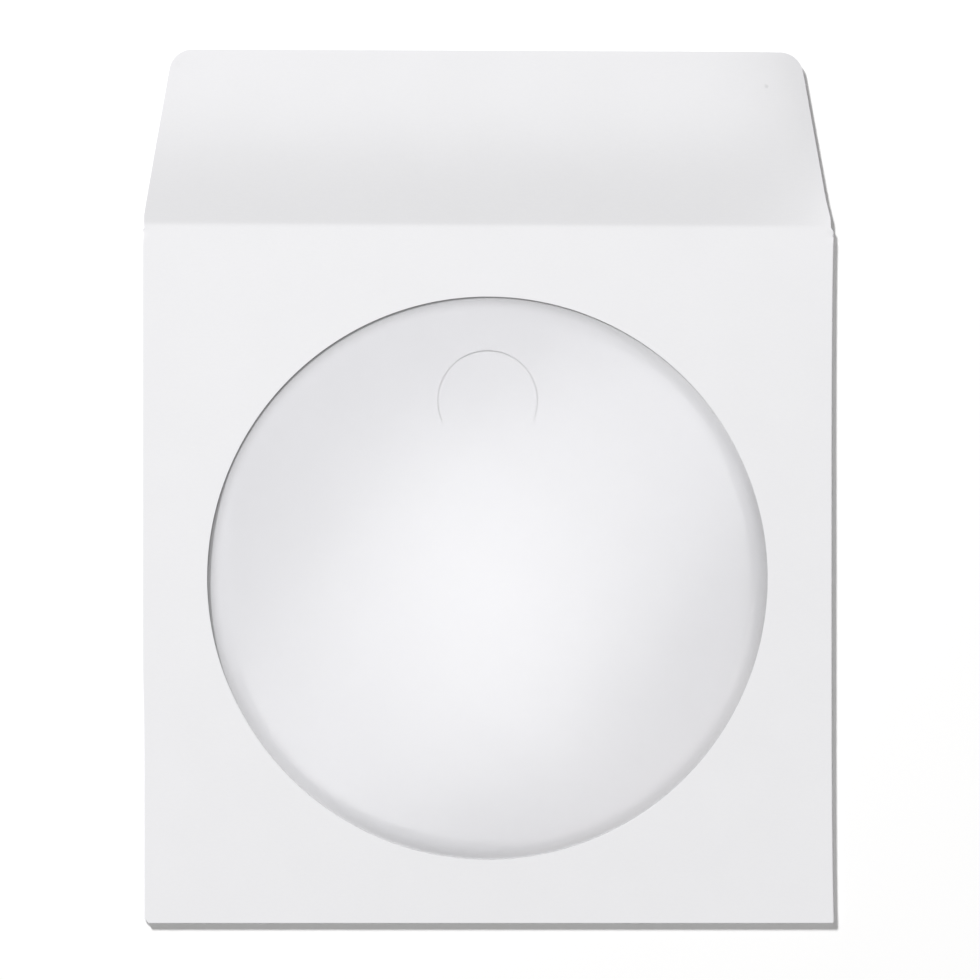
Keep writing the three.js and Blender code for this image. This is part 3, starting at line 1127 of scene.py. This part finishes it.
    def build(self, material: bpy.types.Material) -> bpy.types.Object:
        """Make the patch and give it its thickness.

        Args:
            material: The patch's material.

        Returns:
            The patch.
        """
        film = self.layer is Layer.FILM
        name = "film_patch" if film else "film_glue"
        tree = self.tree()
        patch = new_object(name, bpy.data.meshes.new(name))
        nodes = patch.modifiers.new("patch", "NODES")
        nodes.node_group = tree
        keys = {item.name: item.identifier for item in tree.interface.items_tree if item.in_out == "INPUT"}
        for label, value in self.sizes().items():
            nodes[keys[label]] = value * MM
        nodes[keys["Material"]] = material
        wall = patch.modifiers.new("wall", "SOLIDIFY")
        places = self.form.places
        thick = places.film_top - places.film_low if film else places.front_low - places.film_top
        wall.thickness = thick * MM
        wall.offset = 0.0
        plain_mesh(patch)
        patch.data.set_sharp_from_angle(angle=self.sharp_angle)
        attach(patch, BODY)
        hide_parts("window_film" if film else "window_adhesive")
        log.info("%s: %d faces", patch.name, len(patch.data.polygons))
        return patch


@dataclass
class SeamGlue:
    """The two glue strips between the seam flaps and the back panel, kept as packed."""

    nodes: tuple[str, ...] = ("seam_adhesive_left", "seam_adhesive_right")

    def dress(self, material: bpy.types.Material) -> None:
        """Give both strips their material.

        Args:
            material: The dried glue.
        """
        for name in self.nodes:
            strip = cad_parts[name]
            strip.data.materials.clear()
            strip.data.materials.append(material)
            log.info("%s: dressed", name)


@dataclass(frozen=True)
class SoftBox:
    """A soft lamp overhead that the film mirrors, in millimetres."""

    name: str
    place: tuple[float, float]
    size: tuple[float, float]
    radiance: float
    turn: float = math.radians(-45)
    color: tuple[float, float, float] = (1.0, 1.0, 1.0)


@dataclass
class Studio:
    """White table, soft lamps and the camera straight above, in millimetres."""

    crease_y: float
    boxes: tuple[SoftBox, ...] = (
        SoftBox("strip", (0.0, -30.0), (190.0, 520.0), 2.8),
        SoftBox("centre", (0.0, -35.0), (120.0, 240.0), 4.2, 0.3),
        SoftBox("strip_end_low", (-200.0, -230.0), (130.0, 110.0), 2.2),
        SoftBox("strip_end_high", (200.0, 170.0), (130.0, 110.0), 2.2),
        SoftBox("cool_card", (-190.0, 160.0), (260.0, 420.0), 0.12, color=(0.8, 0.87, 1.0)),
        SoftBox("warm_card", (190.0, -220.0), (260.0, 420.0), 1.3, color=(1.0, 0.93, 0.88)),
    )
    pixels: int = 980
    scale: float = 5.5335
    middle_x: float = 487.7
    crease_pixel_y: float = 225.1
    camera_height: float = 900.0
    sensor: float = 36.0
    key_bearing: tuple[float, float] = (0.54, -0.84)
    key_elevation: float = math.radians(31)
    key_distance: float = 3600.0
    key_irradiance: float = 4.26
    key_spread: float = math.radians(10)
    box_height: float = 950.0
    world_strength: float = 0.15
    table_reach: float = 3000.0
    table_drop: float = 0.05
    table_white: float = 0.99
    table_glow: float = 0.04

    def build(self) -> None:
        """Set up everything that isn't part of the object."""
        self.floor()
        self.key()
        for box in self.boxes:
            self.soft_box(box)
        self.world()
        self.camera()
        bpy.context.scene.view_settings.view_transform = "Standard"
        log.info("studio: floor, lamps and camera")

    def floor(self) -> None:
        """Lay the white table, a hair under the sleeve."""
        reach, low = self.table_reach * MM, -self.table_drop * MM
        mesh = bpy.data.meshes.new("table")
        corners = [(-reach, -reach, low), (reach, -reach, low), (reach, reach, low), (-reach, reach, low)]
        mesh.from_pydata(corners, [], [(0, 1, 2, 3)])
        table = new_object("table", mesh)
        material, tree, output = new_material("white_table")
        matte = tree.nodes.new("ShaderNodeBsdfDiffuse")
        matte.inputs["Color"].default_value = (self.table_white, self.table_white, self.table_white, 1.0)
        glow = tree.nodes.new("ShaderNodeEmission")
        path = tree.nodes.new("ShaderNodeLightPath")
        seen = Field(tree, path.outputs["Is Camera Ray"]) * self.table_glow
        tree.links.new(seen.source, glow.inputs["Strength"])
        both = tree.nodes.new("ShaderNodeAddShader")
        tree.links.new(matte.outputs["BSDF"], both.inputs[0])
        tree.links.new(glow.outputs["Emission"], both.inputs[1])
        tree.links.new(both.outputs["Shader"], output.inputs["Surface"])
        table.data.materials.append(material)

    def soft_box(self, box: SoftBox) -> None:
        """Hang a soft box over the table, facing down.

        Args:
            box: Its place, size and brightness.
        """
        data = bpy.data.lights.new(box.name, "AREA")
        data.shape = "ELLIPSE"
        data.size, data.size_y = box.size[0] * MM, box.size[1] * MM
        data.color = box.color
        data.energy = box.radiance * math.pi * (math.pi / 4) * data.size * data.size_y
        lamp = new_object(box.name, data)
        lamp.location = (box.place[0] * MM, box.place[1] * MM, self.box_height * MM)
        lamp.rotation_euler = (0.0, 0.0, box.turn)

    def key(self) -> None:
        """Put up the low key lamp at the upper left."""
        data = bpy.data.lights.new("key", "AREA")
        data.shape = "DISK"
        away = self.key_distance * MM
        data.size = 2 * away * math.tan(self.key_spread / 2)
        data.energy = self.key_irradiance * math.pi * away**2
        lamp = new_object("key", data)
        across, along = (share * math.cos(self.key_elevation) for share in self.key_bearing)
        aim = Vector((across, along, -math.sin(self.key_elevation)))
        lamp.location = -aim * away
        lamp.rotation_euler = aim.to_track_quat("-Z", "Y").to_euler()

    def world(self) -> None:
        """Fill the room with even light."""
        world = bpy.data.worlds.new("room")
        world.use_nodes = True
        back = world.node_tree.nodes["Background"]
        back.inputs["Color"].default_value = (1.0, 1.0, 1.0, 1.0)
        back.inputs["Strength"].default_value = self.world_strength
        bpy.context.scene.world = world

    def camera(self) -> None:
        """Hang the camera over the sleeve, framed as in the photograph."""
        data = bpy.data.cameras.new("camera")
        span = self.pixels / self.scale
        data.sensor_width = self.sensor
        data.lens = self.sensor * self.camera_height / span
        data.clip_end = 10.0
        eye = new_object("camera", data)
        half = self.pixels / 2
        x = (half - self.middle_x) / self.scale
        y = self.crease_y - (half - self.crease_pixel_y) / self.scale
        eye.location = (x * MM, y * MM, self.camera_height * MM)
        bpy.context.scene.camera = eye


def paper_finishes() -> tuple[PaperFinish, PaperFinish]:
    """Choose the finishes of the paper.

    Returns:
        The finish of its faces, with two specks of dirt on the flap, and that of its cut edges.
    """
    flecks = (
        Fleck((50.25 * MM, 88.0 * MM, 1.9 * MM), 0.5 * MM, 0.25),
        Fleck((-55.9 * MM, 92.0 * MM, 1.9 * MM), 1.2 * MM, 0.06),
    )
    soft = Grain(cloud_scale=90.0, fibre_scale=1100.0, cloud=0.03, fibre=0.03, depth=0.000006)
    rough = Grain(cloud_scale=400.0, fibre_scale=3000.0, cloud=0.06, fibre=0.12, depth=0.00002)
    face = PaperFinish("white_paper", (0.845, 0.845, 0.861), soft, flecks=flecks)
    cut = PaperFinish("cut_paper_edge", (0.8, 0.8, 0.81), rough, roughness=0.95)
    return face, cut


def main() -> None:
    """Build the studio and every piece."""
    logging.basicConfig(level=logging.INFO, format="%(name)s: %(message)s")
    form = SleeveForm(Places.from_frame())
    Studio(form.crease_y).build()
    finishes = Finishes()
    face, cut = paper_finishes()
    PaperSleeve(form, face, cut).build(finishes)
    WindowPatch(form, Layer.FILM).build(FilmFinish().build(finishes))
    glue = GlueFinish().build(finishes)
    WindowPatch(form, Layer.GLUE).build(glue)
    SeamGlue().dress(glue)


if __name__ == "__main__":
    main()
